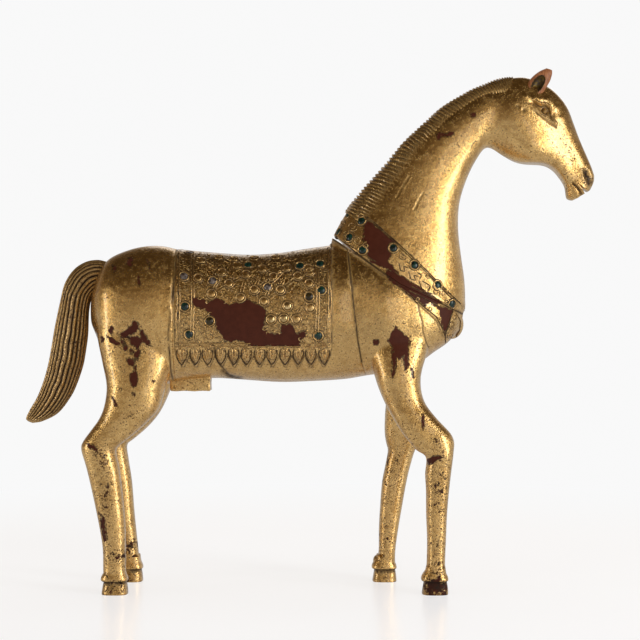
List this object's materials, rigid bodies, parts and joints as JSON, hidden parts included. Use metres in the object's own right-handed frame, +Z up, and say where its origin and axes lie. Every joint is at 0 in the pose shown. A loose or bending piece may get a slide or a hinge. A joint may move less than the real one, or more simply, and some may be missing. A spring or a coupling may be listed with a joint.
{
  "type": "horse sculpture",
  "caption": "Standing wooden horse in worn gold leaf, with a roped mane, a carved saddle cloth and a collar set with round glass.",
  "frame": {"origin": "middle of the bounding box on the floor, under the belly", "axes": "+X toward the head, +Z up, the horse's right side faces -Y"},
  "size_m": [0.6253, 0.1243, 0.5698],
  "materials": {
    "gilded_wood": "worn gold leaf over red-brown lacquer",
    "bare_wood": "bare rim with traces of gilding",
    "green_glass": "dark green, backed, polished",
    "clear_glass": "clear, backed, greyed by age",
    "gilded_glass": "covered by gold leaf"
  },
  "bodies": {
    "root": {"head_and_neck": "gilded_wood", "forequarters": "gilded_wood", "barrel": "gilded_wood", "hindquarters": "gilded_wood", "tail": "gilded_wood", "sheath_block": "gilded_wood", "ear_right": "bare_wood", "ear_left": "bare_wood", "collar_inlay_right_1": "green_glass", "collar_inlay_right_2": "green_glass", "collar_inlay_right_3": "green_glass", "collar_inlay_right_4": "green_glass", "collar_inlay_right_5": "green_glass", "collar_inlay_right_6": "green_glass", "collar_inlay_right_7": "green_glass", "collar_inlay_right_8": "green_glass", "collar_inlay_right_9": "green_glass", "collar_inlay_left_1": "green_glass", "collar_inlay_left_2": "green_glass", "collar_inlay_left_3": "green_glass", "collar_inlay_left_4": "green_glass", "collar_inlay_left_5": "green_glass", "collar_inlay_left_6": "green_glass", "collar_inlay_left_7": "green_glass", "collar_inlay_left_8": "green_glass", "collar_inlay_left_9": "green_glass", "saddle_inlay_right_1": "green_glass", "saddle_inlay_right_2": "green_glass", "saddle_inlay_right_3": "green_glass", "saddle_inlay_right_4": "green_glass", "saddle_inlay_right_5": "green_glass", "saddle_inlay_right_6": "green_glass", "saddle_inlay_right_7": "green_glass", "saddle_inlay_right_8": "clear_glass", "saddle_inlay_right_9": "clear_glass", "saddle_inlay_right_10": "clear_glass", "saddle_inlay_right_11": "clear_glass", "saddle_inlay_right_12": "green_glass", "saddle_inlay_right_13": "green_glass", "saddle_inlay_right_14": "gilded_glass", "saddle_inlay_right_15": "gilded_glass", "saddle_inlay_right_16": "gilded_glass", "saddle_inlay_left_1": "green_glass", "saddle_inlay_left_2": "green_glass", "saddle_inlay_left_3": "clear_glass", "saddle_inlay_left_4": "green_glass", "saddle_inlay_left_5": "green_glass", "saddle_inlay_left_6": "clear_glass", "saddle_inlay_left_7": "green_glass", "saddle_inlay_left_8": "green_glass"}
  },
  "joints": []
}
